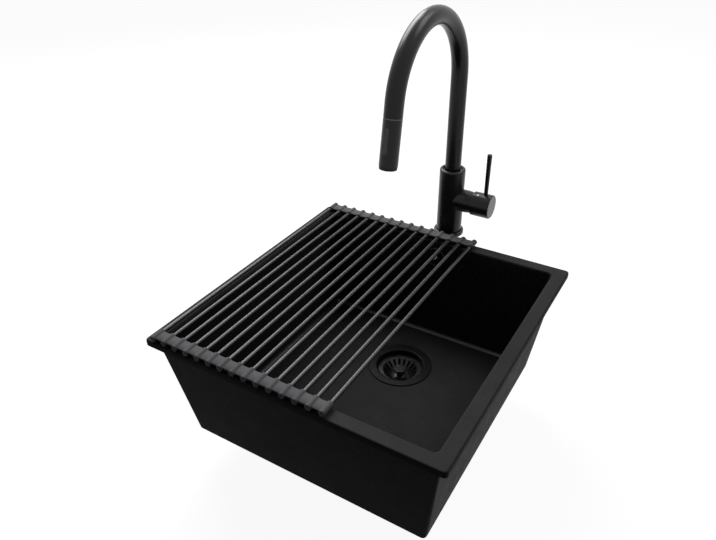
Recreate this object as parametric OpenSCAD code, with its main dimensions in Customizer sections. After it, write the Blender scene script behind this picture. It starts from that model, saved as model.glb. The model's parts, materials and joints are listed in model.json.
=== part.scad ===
// Workstation kitchen sink: a drop-in composite bowl with a basket strainer drain, an overflow,
// a roll-up rack of tubes in silicone strips, and a gooseneck mixer tap with a pull-out spray head.
// Millimetres. The origin is the centre of the rim on the worktop, +X right, +Y back, +Z up.

/* [Rim] */
// Width of the rim, left to right
rim_w = 467; // [430:1:560]
// Depth of the rim, front to back
rim_d = 475; // [440:1:520]
// Thickness of the rim above the worktop
rim_t = 9.5; // [7:0.5:14]
// Width of the rim, from its outer edge to the bowl
rim_band = 21.3; // [18:0.1:26]
// Radius of the rim's outer corners
rim_corner = 6; // [5:1:20]
// Rounding of the rim's top edges
rim_round = 2.5; // [1:0.25:4]

/* [Bowl] */
// Depth of the bowl's underside below the worktop
bowl_depth = 181; // [150:1:240]
// Thickness of the bowl's floor
floor_t = 10; // [8:0.5:12]
// Thickness of the bowl's walls at the worktop
wall_t = 9.4; // [7:0.2:11]
// Lean of the bowl's walls, in degrees
wall_lean = 7.5; // [4:0.5:9]
// Radius of the bowl's upright inner corners
inner_corner = 8; // [6:1:16]
// Radius of the bowl's upright outer corners
body_corner = 4; // [3:1:12]
// Radius between the walls and the floor, inside and outside
floor_round = 7; // [5:1:16]

/* [Drain] */
// Place of the drain, to the right of the centre
drain_x = 9; // [-40:1:40]
// Place of the drain, behind the centre
drain_y = 84; // [0:1:95]
// Radius of the drain's flange
flange_r = 54.5; // [52:0.5:62]
// Thickness of the drain's flange
flange_t = 2; // [1.5:0.1:3]
// Depth of the recess that the flange lies in
recess_depth = 2.2; // [1.5:0.1:4]
// Width of the recess's slope round the flange
recess_slope = 4.5; // [3:0.5:14]
// Outer radius of the drain cup's thread
cup_thread_r = 43.5; // [43.3:0.1:45]
// Radius of the drain cup's mouth
mouth_r = 38.8; // [38:0.1:41.5]
// Depth of the ledge that carries the strainer
ledge_depth = 12; // [9:0.5:16]
// Inner depth of the drain cup
cup_depth = 34; // [31:1:44]
// Outer radius of the outlet neck, a G 1 1/2 thread
outlet_r = 23.9; // [22:0.1:26]
// Inner radius of the outlet neck
outlet_bore_r = 20.5; // [18:0.5:21]
// Length of the outlet neck below the cup
outlet_len = 22; // [16:1:40]

/* [Strainer] */
// Number of slots in the strainer basket
basket_slots = 18; // [12:1:24]
// Thickness of the strainer's sheet
basket_t = 1.2; // [0.8:0.1:1.8]
// Top radius of the basket's cone
basket_top_r = 30.5; // [28:0.5:34]
// Bottom radius of the basket's cone
basket_foot_r = 15; // [13:0.5:17]
// Depth of the basket's cone
basket_depth = 14.6; // [12:0.2:16]
// Radius of the strainer's knob
knob_r = 10.5; // [8:0.5:12]
// Radius of the strainer's post
post_r = 2.5; // [2:0.1:3]
// Radius of the rubber stopper
stopper_r = 24; // [22.5:0.5:28]

/* [Overflow] */
// Place of the overflow, to the right of the centre
overflow_x = 8; // [-60:1:60]
// Depth of the overflow below the worktop
overflow_drop = 20; // [18:1:40]
// Radius of the overflow's cover
cover_r = 17.5; // [16:0.5:20]
// Radius of the hole through the wall
overflow_hole_r = 13; // [10:0.5:14]
// Radius of the overflow's spigot
spigot_r = 10; // [8:0.5:11]
// Length of the overflow's spigot
spigot_len = 26; // [20:1:40]

/* [Tap] */
// Place of the tap, to the right of the centre
tap_x = 1.5; // [-20:0.5:20]
// Distance of the tap's axis behind the rim
tap_gap = 40.5; // [36:0.5:60]
// Radius of the tap's body
body_r = 22.2; // [21.5:0.1:24]
// Height of the tap's body
body_h = 124; // [118:1:150]
// Radius of the base ring
base_r = 26.5; // [25.5:0.5:32]
// Height of the base ring
base_h = 7; // [5:0.5:10]
// Radius of the threaded shank
shank_r = 16; // [15:0.5:16.5]
// Length of the shank below the worktop
shank_len = 62; // [58:1:80]
// Thickness of the worktop that the tap clamps
worktop_t = 38; // [20:1:40]

/* [Spout] */
// Outer radius of the spout tube
spout_r = 13.6; // [13:0.1:14.5]
// Wall thickness of the spout tube
spout_wall = 1.6; // [1.2:0.1:2]
// Radius of the gooseneck's bend
neck_bend_r = 110; // [80:1:130]
// Height of the centre of the gooseneck's bend
neck_h = 283; // [240:1:340]
// Angle that the gooseneck bends through
neck_angle = 170; // [150:1:178]
// Straight length of the spout after the bend
tip_len = 19.7; // [10:0.1:30]
// Radius of the spray hose
hose_r = 6.2; // [5.5:0.1:7]

/* [Spray head] */
// Length of the spray head's shell
head_len = 66; // [60:1:80]
// Wall thickness of the spray head's shell
head_wall = 1.8; // [1.4:0.1:2.2]
// Length of the rubber nozzle face below the shell
face_len = 4.5; // [3:0.5:7]
// Length of the spray button
button_len = 37; // [25:1:40]
// Width of the spray button
button_w = 6.2; // [5:0.1:8]
// How far the button stands out of the shell
button_out = 0.8; // [0.5:0.1:1]
// Travel of the spray button
button_travel = 1.2; // [0.8:0.1:1.5]
// Number of nozzles in the outer ring of the face
nozzles = 16; // [8:1:20]

/* [Valve and lever] */
// Height of the valve's axis
valve_h = 67.5; // [60:0.5:70]
// Radius of the valve housing
housing_r = 19.5; // [19:0.1:20]
// Reach of the valve housing from the tap's axis
housing_len = 43.2; // [42:0.1:48]
// Radius of the cartridge
cartridge_r = 17.2; // [16:0.1:17.4]
// Radius of the lever's cap
cap_r = 20.8; // [20.7:0.1:22]
// Length of the lever's cap
cap_len = 32.9; // [28:0.1:40]
// Distance of the stick from the cap's open edge
stick_at = 20.4; // [17:0.1:24]
// Height of the stick's top above the valve's axis
stick_h = 94; // [70:1:120]
// Radius of the stick at its top
stick_top_r = 4.1; // [3.5:0.1:5]
// Radius of the stick at its foot
stick_foot_r = 3.4; // [3:0.1:4]
// Radius of the pivot pin under the cap
pivot_r = 1.5; // [1.2:0.1:2]
// Radius of the hot and cold mark
mark_r = 2.2; // [1.5:0.1:3]

/* [Rack] */
// Distance from one rod to the next
rod_pitch = 20.3; // [18:0.1:24]
// Radius of the rods
rod_r = 3; // [2.5:0.1:3.5]
// Wall thickness of the rods
rod_wall = 0.8; // [0.6:0.1:1.2]
// Radius of the silicone sleeves
sleeve_r = 5; // [4.5:0.1:6]
// Length of the silicone sleeves
sleeve_len = 21.5; // [16:0.5:24]
// Distance of the first rod from the rim's left edge
rack_left = 16.4; // [12:0.1:40]
// How far the rack is longer than the rim, at each end
rack_over = 1; // [0:0.5:4]
// Place of the rack, behind the centre
rack_y = 2; // [-3:0.5:3]
// Thickness of the webs between the sleeves
web_t = 3; // [2:0.1:4]
// Height of the webs' top above the rods' axes
web_top = 3.4; // [2.5:0.1:4]
// How far the sleeves poke out of the webs
sleeve_out = 3; // [1:0.5:7]

/* [Hidden] */

$fn = 64;
// Segments on the children of a hull
hull_fn = 32;
// Overlap that a cut reaches past the surface it opens
cut = 1;
// Radial clearance of a shaft that turns or slides in its bore
running = 0.08;
// Gap between a piece at rest and the seat that it lies on
rest_gap = 0.3;
// Gap round a piece that drops into a recess
drop_gap = 0.4;

// Gap between two thin pieces that lie on each other
sheet_gap = 0.05;

// Height of the bowl's floor
floor_z = floor_t - bowl_depth;
// How far a wall leans in, per millimetre of depth
lean = tan(wall_lean);
// Height of the underside of the drain's flange
seat_z = floor_z - recess_depth;
// Height of the top of the drain's flange
drain_z = seat_z + flange_t;
// Thickness of the drain's rubber gasket and fibre washer
gasket_t = 3;
fibre_t = 1.5;
// Depth of the cup's thread below the flange's top
thread_depth = cup_depth + 2;
// Depth of the outlet neck's end below the flange's top
outlet_end = thread_depth + 8 + outlet_len;
// Depths of the strainer's rim and foot below the flange's top
basket_rim = ledge_depth - basket_t - 0.1;
basket_foot = basket_rim + basket_depth;
// Depth of the socket that the post clips into
socket_depth = cup_depth + 10;
socket_h = 4;

// Places on the tap
tap_y = rim_d / 2 + tap_gap;
well_depth = 4;
bush_t = 2.4;
bush_len = 14;
riser_foot = valve_h + cartridge_r + 5;
head_start = tip_len + 1.7;
pivot_x = housing_len + 0.3;
cap_end = pivot_x + cap_len;
rotor_r = 10.6;

// Places on the rack
rod_count = 15;
rod_x0 = rack_left - rim_w / 2;
rod_z = rim_t + rest_gap + sleeve_r;
sleeve_end = rim_d / 2 + rack_over;
// Thickness of a sleeve's closed end
sleeve_cap = 2;

// Distance that the inner and outer wall faces stand in from the rim's edge at a height
function inner_in(z) = rim_band + (rim_t - z) * lean;
function outer_in(z) = rim_band - wall_t - z * lean;
// Number of a rack piece as two digits
function two_digits(i) = str(i < 10 ? "0" : "", i);
// Points of an arc round c, from angle a0 to a1
function arc(c, r, a0, a1, steps = 6) =
  [for (i = [0:steps]) c + r * [cos(a0 + (a1 - a0) * i / steps), sin(a0 + (a1 - a0) * i / steps)]];

// ---------------------------------------------------------------- sink

// Four children at the corners of a rectangle that stands in from the rim's edge
module at_corners(inset) {
  for (sx = [-1, 1])
    for (sy = [-1, 1])
      translate([sx * (rim_w / 2 - inset), sy * (rim_d / 2 - inset), 0])
        children();
}

// A ball whose lowest point lies exactly on its radius
module ball(r) {
  rotate_extrude($fn = hull_fn)
    intersection() {
      circle(r, $fn = hull_fn);
      translate([0, -r]) square([r, 2 * r]);
    }
}

// A disc with a rounded top edge
module round_disc(r, h, round) {
  rotate_extrude($fn = hull_fn) {
    square([r, h - round]);
    square([r - round, h]);
    translate([r - round, h - round]) circle(round, $fn = hull_fn);
  }
}

module rim_plate() {
  hull()
    at_corners(rim_corner)
      round_disc(rim_corner, rim_t, rim_round);
}

// A leaning tub shape: discs at the top, balls at the bottom
module tub(top_z, top_in, bottom_z, bottom_in, corner) {
  hull() {
    translate([0, 0, top_z - 0.01])
      at_corners(top_in + corner)
        cylinder(r = corner, h = 0.01, $fn = hull_fn);
    translate([0, 0, bottom_z])
      at_corners(bottom_in + floor_round / cos(wall_lean))
        ball(floor_round);
  }
}

// The rounded edge of the rim, cut round the bowl's mouth in two steps
module mouth_round() {
  for (k = [0:1]) {
    low = 45 * k;
    high = low + 45;
    z = rim_t - rim_round + rim_round * sin(low);
    h = rim_round * (sin(high) - sin(low)) + (k == 1 ? 0.01 : 0);
    hull()
      at_corners(rim_band + inner_corner)
        translate([0, 0, z])
          cylinder(
            r1 = inner_corner + rim_round * (1 - cos(low)),
            r2 = inner_corner + rim_round * (1 - cos(high)),
            h = h,
            $fn = hull_fn
          );
  }
}

// Children placed on the drain's axis, with z = 0 at the top of its flange
module at_drain() {
  translate([drain_x, drain_y, drain_z])
    children();
}

// Children placed on the overflow's axis, with z = 0 on the wall's inner face and +Z into the bowl
module at_overflow() {
  translate([overflow_x, rim_d / 2 - inner_in(-overflow_drop), -overflow_drop])
    rotate([90 - wall_lean, 0, 0])
      children();
}

// Thickness of the wall, square to its face
overflow_wall = (inner_in(0) - outer_in(0)) * cos(wall_lean);

module sink_bowl() {
  color("#2b2c2e")
    difference() {
      union() {
        rim_plate();
        tub(
          0.01, outer_in(0), floor_round - bowl_depth,
          outer_in(floor_round - bowl_depth), body_corner
        );
      }
      tub(
        rim_t + 0.01, rim_band, floor_z + floor_round,
        inner_in(floor_z + floor_round), inner_corner
      );
      mouth_round();
      translate([drain_x, drain_y, seat_z])
        cylinder(
          r1 = flange_r + 1,
          r2 = flange_r + 1 + recess_slope,
          h = recess_depth + 0.01
        );
      translate([drain_x, drain_y, -bowl_depth - cut])
        cylinder(r = cup_thread_r + 0.9, h = bowl_depth + seat_z + 2 * cut);
      at_overflow()
        translate([0, 0, -overflow_wall - cut])
          cylinder(r = overflow_hole_r, h = overflow_wall + 2 * cut);
    }
}

// ---------------------------------------------------------------- drain

module drain_body() {
  lip = 4;
  color("#3a3b3d")
    at_drain() {
      difference() {
        rotate_extrude()
          polygon(concat(
            [
              [mouth_r, -ledge_depth],
              [mouth_r - 3.6, -ledge_depth],
              [mouth_r - 3.6, -cup_depth],
              [outlet_bore_r, -cup_depth],
              [outlet_bore_r, -outlet_end],
              [outlet_r, -outlet_end],
              [outlet_r, -thread_depth - 8],
              [cup_thread_r, -thread_depth],
              [cup_thread_r, -flange_t],
              [flange_r, -flange_t]
            ],
            arc([flange_r - 1, -1], 1, 0, 90, 3),
            arc([mouth_r + lip, -lip], lip, 90, 180)
          ));
      }
      // three bars carry the socket of the strainer's post
      translate([0, 0, -socket_depth - socket_h])
        difference() {
          union() {
            cylinder(r = post_r + 2.6, h = socket_h);
            for (k = [0:2])
              rotate([0, 0, 120 * k + 30])
                translate([0, -1.3, 0])
                  cube([outlet_bore_r + 0.5, 2.6, socket_h]);
          }
          translate([0, 0, -cut])
            cylinder(r = post_r + running, h = socket_h + 2 * cut);
        }
    }
}

// The rubber gasket and the fibre washer under the bowl
module drain_washers() {
  color("#1c1c1d")
    translate([drain_x, drain_y, -bowl_depth - gasket_t])
      ring(flange_r, cup_thread_r + 0.2, gasket_t);
  color("#8a7a62")
    translate([drain_x, drain_y, -bowl_depth - gasket_t - fibre_t])
      ring(flange_r - 1, cup_thread_r + 0.2, fibre_t - sheet_gap);
}

module ring(outer, inner, h) {
  difference() {
    cylinder(r = outer, h = h);
    translate([0, 0, -cut])
      cylinder(r = inner, h = h + 2 * cut);
  }
}

module drain_locknut() {
  nut_h = 9;
  nut_r = cup_thread_r + 7;
  lugs = 8;
  color("#45464a")
    translate([drain_x, drain_y, -bowl_depth - gasket_t - fibre_t - nut_h])
      difference() {
        union() {
          cylinder(r = nut_r, h = nut_h);
          for (k = [0:lugs - 1])
            rotate([0, 0, 360 / lugs * k])
              translate([nut_r - 2, -4, 0])
                cube([6, 8, nut_h - 2]);
        }
        translate([0, 0, -cut])
          cylinder(r = cup_thread_r + 0.05, h = nut_h + 2 * cut);
      }
}

// ---------------------------------------------------------------- strainer

// One slot of the basket, wider towards the rim
module basket_slot() {
  inner = basket_foot_r + 4;
  outer = basket_top_r - 2;
  translate([0, 0, -basket_foot - cut])
    linear_extrude(basket_depth + 2 * cut)
      polygon([[inner, -1.4], [outer, -2.2], [outer + 1, 0], [outer, 2.2], [inner, 1.4]]);
}

module strainer_basket() {
  rim_out = mouth_r - drop_gap;
  color("#56585c")
    at_drain()
      difference() {
        rotate_extrude()
          polygon([
            [post_r + 0.05, -basket_foot + basket_t],
            [basket_foot_r, -basket_foot + basket_t],
            [basket_top_r, -basket_rim],
            [rim_out, -basket_rim],
            [rim_out, -basket_rim - basket_t],
            [basket_top_r + 1, -basket_rim - basket_t],
            [basket_foot_r + 0.6, -basket_foot],
            [post_r + 0.05, -basket_foot]
          ]);
        for (k = [0:basket_slots - 1])
          rotate([0, 0, 360 / basket_slots * k])
            basket_slot();
      }
}

module strainer_stopper() {
  color("#1c1c1d")
    at_drain()
      rotate_extrude()
        polygon([
          [post_r + 0.05, -basket_foot - 0.05],
          [basket_foot_r - 6, -basket_foot - 0.05],
          [basket_foot_r - 6, -cup_depth + 5.5],
          [stopper_r - 1.5, -cup_depth + 5],
          [stopper_r, -cup_depth + 3.5],
          [stopper_r, -cup_depth + rest_gap],
          [post_r + 0.05, -cup_depth + rest_gap]
        ]);
}

module strainer_knob() {
  top = -8.8;
  head_h = 5.4;
  color("#56585c")
    at_drain() {
      rotate_extrude()
        polygon(concat(
          [
            [0, -socket_depth - socket_h - 1],
            [post_r - 0.6, -socket_depth - socket_h - 1],
            [post_r, -socket_depth - socket_h],
            [post_r, -basket_foot + basket_t],
            [knob_r, -basket_foot + basket_t],
            [knob_r, -basket_foot + basket_t + 1.2],
            [knob_r - 5.5, -basket_foot + basket_t + 3],
            [knob_r - 6, top - head_h]
          ],
          arc([knob_r - 1.5, top - head_h + 1.5], 1.5, -90, 0, 4),
          arc([knob_r - 1.5, top - 1.5], 1.5, 0, 90, 4),
          [[knob_r - 3, top], [knob_r - 4, top - 0.6], [0, top - 0.6]]
        ));
    }
}

// ---------------------------------------------------------------- overflow

module overflow_cover() {
  holes = 8;
  color("#56585c")
    at_overflow() translate([0, 0, sheet_gap])
      difference() {
        rotate_extrude()
          polygon(concat(
            [[0, 0], [cover_r, 0]],
            arc([cover_r - 1.6, 0.8], 1.6, -30, 75, 5),
            [[cover_r - 5, 1.6], [4.5, 1.6], [3.5, 2.6], [0, 2.6]]
          ));
        for (k = [0:holes - 1])
          rotate([0, 0, 360 / holes * k])
            translate([cover_r * 0.52, 0, -cut])
              cylinder(r = 2.1, h = 4 + cut);
        translate([0, 0, -cut])
          cylinder(r = 2.1, h = 4 + cut);
      }
}

// The flanged elbow outside the wall, with its spigot pointing down
module overflow_elbow() {
  flange = overflow_hole_r + 5;
  throat = overflow_hole_r - 3;
  depth = overflow_wall + 2;
  turn = 12;
  color("#3a3b3d")
    difference() {
      union() {
        at_overflow() {
          translate([0, 0, -depth - 3]) cylinder(r = flange, h = 3);
          translate([0, 0, -depth - turn]) cylinder(r = throat + 2, h = turn);
          translate([0, 0, -depth - turn]) sphere(r = throat + 2);
        }
        elbow_down(depth + turn) {
          translate([0, 0, -spigot_len]) cylinder(r = spigot_r, h = spigot_len);
          for (k = [0:2])
            translate([0, 0, -spigot_len + 2 + 4.5 * k])
              cylinder(r1 = spigot_r, r2 = spigot_r + 0.9, h = 3);
        }
      }
      at_overflow() {
        translate([0, 0, -depth - turn]) cylinder(r = throat, h = turn + cut);
        translate([0, 0, -depth - turn]) sphere(r = throat);
      }
      elbow_down(depth + turn)
        translate([0, 0, -spigot_len - cut])
          cylinder(r = spigot_r - 2, h = spigot_len + cut);
    }
  // the centre post that takes the cover's screw
  color("#3a3b3d")
    at_overflow()
      translate([0, 0, -depth - 2])
        difference() {
          union() {
            cylinder(r = 4, h = depth - 4);
            translate([-throat - 0.5, -1.2, 0]) cube([2 * throat + 1, 2.4, 3]);
          }
          translate([0, 0, 2]) cylinder(r = 2, h = depth);
        }
}

// Children hung straight down from a point on the overflow's axis, outside the wall
module elbow_down(back) {
  translate([overflow_x, rim_d / 2 - inner_in(-overflow_drop), -overflow_drop])
    translate([0, back * cos(wall_lean), -back * sin(wall_lean)])
      children();
}

module overflow_gasket() {
  color("#1c1c1d")
    at_overflow()
      translate([0, 0, -overflow_wall - 2])
        ring(overflow_hole_r + 4.5, overflow_hole_r, 2);
}

module overflow_screw() {
  color("#8d8f93")
    at_overflow()
      difference() {
        union() {
          translate([0, 0, -overflow_wall + 3])
            cylinder(r = 1.95, h = overflow_wall);
          translate([0, 0, 2.6 + 2 * sheet_gap]) cylinder(r1 = 3.4, r2 = 2.8, h = 1.4);
        }
        translate([-2.4, -0.4, 3.4]) cube([4.8, 0.8, 2]);
      }
}

// ---------------------------------------------------------------- tap

// Children placed on the tap's axis, on the worktop
module at_tap() {
  translate([tap_x, tap_y, 0])
    children();
}

// Children placed on the valve's axis, with +Z pointing right along it
module at_valve() {
  at_tap()
    translate([0, 0, valve_h])
      rotate([0, 90, 0])
        children();
}

module tap_base_ring() {
  color("#202124")
    at_tap()
      rotate_extrude()
        polygon(concat(
          [[body_r + 0.05, 0], [base_r, 0], [base_r, base_h - 2.5]],
          arc([base_r - 2.5, base_h - 2.5], 2.5, 0, 90, 5),
          [[body_r + 0.05, base_h]]
        ));
}

module tap_body() {
  relief = 12;
  edge = 3;
  color("#202124")
    difference() {
      union() {
        at_tap() {
          translate([0, 0, 1]) cylinder(r = body_r, h = body_h - edge - 1);
          rotate_extrude() {
            translate([0, body_h - edge - 1]) square([body_r - edge, edge + 1]);
            translate([body_r - edge, body_h - edge])
              intersection() {
                circle(edge);
                translate([-1, -1]) square(edge + 1);
              }
          }
        }
        at_valve() {
          cylinder(r = housing_r, h = housing_len - relief);
          translate([0, 0, housing_len - relief])
            cylinder(r1 = housing_r, r2 = cartridge_r + 0.9, h = relief);
        }
      }
      at_tap() {
        // the well round the riser, the bush's seat, the riser's bore and the hose's channel
        translate([0, 0, body_h - well_depth])
          cylinder(r = spout_r + bush_t + 1, h = well_depth + cut);
        translate([0, 0, body_h - well_depth - bush_len])
          cylinder(r = spout_r + bush_t, h = bush_len + cut);
        translate([0, 0, riser_foot - rest_gap])
          cylinder(r = spout_r + running, h = body_h);
        translate([0, 0, -cut]) cylinder(r = hose_r + 2.4, h = body_h);
        // the thread of the shank
        translate([0, 0, -cut]) cylinder(r = shank_r, h = 14 + cut);
      }
      at_valve() {
        translate([0, 0, 14]) cylinder(r = cartridge_r + 0.1, h = housing_len);
        translate([0, 0, housing_len - 9.6]) cylinder(r = cartridge_r + 0.4, h = 10.6);
      }
    }
}

module tap_shank() {
  color("#b48a45")
    at_tap()
      translate([0, 0, -shank_len])
        ring(shank_r, shank_r - 3, shank_len + 14);
}

// The base seal on the worktop, and the rubber and steel washers below it
module tap_washers() {
  at_tap() {
    color("#1c1c1d") ring(body_r - 0.5, shank_r + 0.3, 1);
    color("#1c1c1d")
      translate([0, 0, -worktop_t - 3]) ring(shank_r + 10, shank_r + 0.4, 3);
    color("#8d8f93")
      translate([0, 0, -worktop_t - 4.5]) ring(shank_r + 10, shank_r + 0.4, 1.5 - sheet_gap);
  }
}

module tap_nut() {
  nut_h = 10;
  color("#b48a45")
    at_tap()
      translate([0, 0, -worktop_t - 4.5 - nut_h])
        difference() {
          cylinder(r = shank_r + 7, h = nut_h, $fn = 6);
          translate([0, 0, -cut]) cylinder(r = shank_r + 0.05, h = nut_h + 2 * cut);
        }
}

// ---------------------------------------------------------------- spout

// Children placed at the end of the gooseneck's bend: +Z runs down the spray head, +Y to its front
module at_head() {
  at_tap()
    translate([
      0,
      -neck_bend_r * (1 - cos(neck_angle)),
      neck_h + neck_bend_r * sin(neck_angle)
    ])
      rotate([neck_angle, 0, 0])
        children();
}

// A round bar of radius r along the riser, the bend and a straight end
module gooseneck(r, foot, end) {
  at_tap() {
    translate([0, 0, foot]) cylinder(r = r, h = neck_h - foot);
    translate([0, -neck_bend_r, neck_h])
      rotate([90, 0, 90])
        rotate_extrude(angle = neck_angle, $fn = 128)
          translate([neck_bend_r, 0]) circle(r);
  }
  // a hair thinner, so that it starts inside the bend
  at_head()
    translate([0, 0, -1])
      cylinder(r = r - 0.05, h = end + 1);
}

module spout() {
  color("#202124")
    difference() {
      gooseneck(spout_r, riser_foot, tip_len);
      gooseneck(spout_r - spout_wall, riser_foot - cut, tip_len + cut);
    }
}

module spout_bush() {
  color("#77797d")
    at_tap()
      translate([0, 0, body_h - well_depth - bush_len])
        ring(spout_r + bush_t, spout_r + running, bush_len);
}

// The pull-out hose, from the waterway in the spray head to the foot of the shank
module spray_hose() {
  color("#4a4c50")
    gooseneck(hose_r, -shank_len, head_start + 8);
}

// ---------------------------------------------------------------- spray head

module spray_collar() {
  color("#8d8f93")
    at_head()
      translate([0, 0, tip_len + rest_gap])
        ring(spout_r - 0.3, hose_r + 2, head_start - tip_len - rest_gap);
}

// The outline of the button, or of its slot with a gap all round
module button_outline(gap) {
  w = button_w / 2 + gap;
  half = button_len / 2 - button_w / 2;
  translate([-w, -half]) square([2 * w, 2 * half]);
  for (s = [-1, 1])
    translate([0, s * half]) circle(w);
}

// Height of the button's middle along the head
button_mid = head_start + 29.5;

module spray_shell() {
  color("#202124")
    at_head()
      difference() {
        translate([0, 0, head_start]) cylinder(r = spout_r, h = head_len);
        translate([0, 0, head_start + 3])
          cylinder(r = spout_r - head_wall, h = head_len);
        translate([0, 0, head_start - cut])
          cylinder(r = hose_r + 0.5, h = 3 + 2 * cut);
        translate([0, 0, button_mid])
          rotate([-90, 0, 0])
            linear_extrude(spout_r + cut)
              button_outline(0.2);
      }
}

module spray_button() {
  back = spout_r - head_wall - button_travel - 0.4;
  color("#5d5f63")
    at_head()
      intersection() {
        translate([0, 0, button_mid])
          rotate([-90, 0, 0])
            translate([0, 0, back])
              linear_extrude(spout_r)
                button_outline(0);
        translate([0, 0, head_start]) cylinder(r = spout_r + button_out, h = head_len);
      }
}

// The waterway inside the shell, with the rubber nozzle face at its end
module spray_face() {
  face_top = head_start + head_len - 5;
  face_end = head_start + head_len + face_len;
  face_r = spout_r - head_wall - 0.05;
  lip_r = spout_r - 0.6;
  color("#161617")
    at_head()
      difference() {
        union() {
          translate([0, 0, head_start + 8])
            cylinder(r = hose_r + 0.9, h = face_top - head_start - 8);
          translate([0, 0, face_top]) cylinder(r = face_r, h = 5.1);
          rotate_extrude()
            polygon(concat(
              [[0, face_top + 5], [lip_r, face_top + 5], [lip_r, face_end - 1.5]],
              arc([lip_r - 1.5, face_end - 1.5], 1.5, 0, 90, 4),
              [[lip_r - 3, face_end], [lip_r - 3.6, face_end - 1], [0, face_end - 1]]
            ));
          for (k = [0:nozzles - 1])
            rotate([0, 0, 360 / nozzles * k])
              nozzle(7.3, face_end);
          for (k = [0:7])
            rotate([0, 0, 45 * k])
              nozzle(4, face_end);
        }
        translate([0, 0, head_start + 8 - cut])
          cylinder(r = hose_r - 2, h = face_top - head_start - 8);
      }
}

// One soft nozzle tip on the face
module nozzle(at, face_end) {
  translate([at, 0, face_end - 1.5])
    cylinder(r1 = 0.9, r2 = 0.6, h = 1.6, $fn = 16);
}

// ---------------------------------------------------------------- valve and lever

module cartridge() {
  color("#c9c8c2")
    at_valve() {
      translate([0, 0, 14]) cylinder(r = cartridge_r, h = pivot_x - 14 - 9.5);
      translate([0, 0, pivot_x - 9.5 - cut])
        cylinder(r = rotor_r + 0.7, h = 2 + cut);
    }
}

module cartridge_nut() {
  color("#b48a45")
    at_valve()
      translate([0, 0, pivot_x - 9.4])
        ring(cartridge_r + 0.35, rotor_r + 0.9, 4.6);
}

// The part of the cartridge that turns, with a fork for the pivot pin
module cartridge_rotor() {
  color("#dedcd5")
    at_valve()
      difference() {
        union() {
          translate([0, 0, pivot_x - 7.3]) cylinder(r = rotor_r, h = 3.8);
          for (s = [-1, 1])
            translate([-4, s * 4.4 - 1.6, pivot_x - 4])
              cube([8, 3.2, 7.8]);
        }
        pivot_bore(pivot_r);
      }
}

// A bore along Y through the fork and the eye
module pivot_bore(r) {
  translate([0, 0, pivot_x])
    rotate([90, 0, 0])
      cylinder(r = r, h = 20, center = true);
}

module lever_pin() {
  color("#8d8f93")
    at_valve()
      translate([0, 0, pivot_x])
        rotate([90, 0, 0])
          cylinder(r = pivot_r, h = 11.8, center = true);
}

// The cap over the end of the valve housing, with the eye that tilts on the pivot pin
module lever_cap() {
  skirt = 10.5;
  skirt_wall = 0.7;
  color("#202124")
    at_valve() {
      difference() {
        union() {
          difference() {
            rotate_extrude() {
              translate([0, pivot_x]) square([cap_r, cap_len - 1.2]);
              translate([0, cap_end - 1.3])
                polygon([[0, 0], [cap_r, 0], [cap_r, 0.1], [cap_r - 1.2, 1.3], [0, 1.3]]);
            }
            translate([0, 0, pivot_x - cut])
              cylinder(r = cap_r - skirt_wall, h = skirt + cut);
          }
          translate([-3.2, -2.6, pivot_x]) cube([6.4, 5.2, skirt + cut]);
          translate([0, 0, pivot_x])
            rotate([90, 0, 0])
              cylinder(r = 3.2, h = 5.2, center = true);
        }
        pivot_bore(pivot_r + running);
        // the stick's socket
        translate([0, 0, pivot_x + stick_at])
          rotate([0, -90, 0])
            translate([0, 0, cap_r - 11])
              cylinder(r = stick_foot_r, h = 12);
        at_mark() cylinder(r = mark_r, h = 3);
      }
    }
}

// Children on the cap's surface, 17 degrees towards the front, with +Z pointing out of it
module at_mark() {
  rotate([0, 0, 17])
    translate([-cap_r + 0.6, 0, pivot_x + 8.2])
      rotate([0, -90, 0])
        children();
}

module lever_stick() {
  foot = cap_r - 11;
  edge = 0.8;
  color("#202124")
    at_valve()
      translate([0, 0, pivot_x + stick_at])
        rotate([0, -90, 0])
          rotate_extrude()
            polygon([
              [0, foot],
              [stick_foot_r, foot],
              [stick_foot_r, cap_r + 0.5],
              [stick_top_r, stick_h - edge],
              [stick_top_r - edge, stick_h],
              [0, stick_h]
            ]);
}

// Two half discs, one for hot and one for cold
module hot_cold_mark() {
  for (s = [0, 1])
    color(s == 0 ? "#b3262a" : "#e6dfe0")
      at_valve()
        at_mark()
          intersection() {
            cylinder(r = mark_r, h = 0.7);
            rotate([0, 0, 180 * s])
              translate([-5, 0.02, -1]) cube([10, 5, 3]);
          }
}

// ---------------------------------------------------------------- rack

// Place of a rod, counted from 1 at the left
function rod_x(i) = rod_x0 + rod_pitch * (i - 1);

module rack_rod(i) {
  length = 2 * (sleeve_end - sleeve_cap - rest_gap);
  color("#2d2e31")
    translate([rod_x(i), rack_y, rod_z])
      rotate([90, 0, 0])
        difference() {
          cylinder(r = rod_r, h = length, center = true, $fn = 32);
          cylinder(r = rod_r - rod_wall, h = length + 2 * cut, center = true, $fn = 32);
        }
}

// The sleeves on both ends of a rod, each with its half of the webs to its neighbours
module rack_grip(i) {
  web_len = sleeve_len - sleeve_out - 1;
  reach = rod_pitch / 2 - 0.05;
  left = i > 1 ? reach : 0;
  right = i < rod_count ? reach : 0;
  for (s = [-1, 1])
    color(s < 0 ? "#6b6d70" : "#64666a")
      translate([rod_x(i), rack_y + s * (sleeve_end - sleeve_len / 2), rod_z])
        difference() {
          union() {
            rotate([90, 0, 0]) cylinder(r = sleeve_r, h = sleeve_len, center = true, $fn = 32);
            translate([
              -left,
              -web_len / 2 - s * (sleeve_len - web_len - 2) / 2,
              web_top - web_t
            ])
              cube([left + right, web_len, web_t]);
          }
          translate([0, -s * (sleeve_cap + cut) / 2, 0])
            rotate([90, 0, 0])
              cylinder(r = rod_r, h = sleeve_len - sleeve_cap + cut, center = true, $fn = 32);
        }
}

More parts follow.
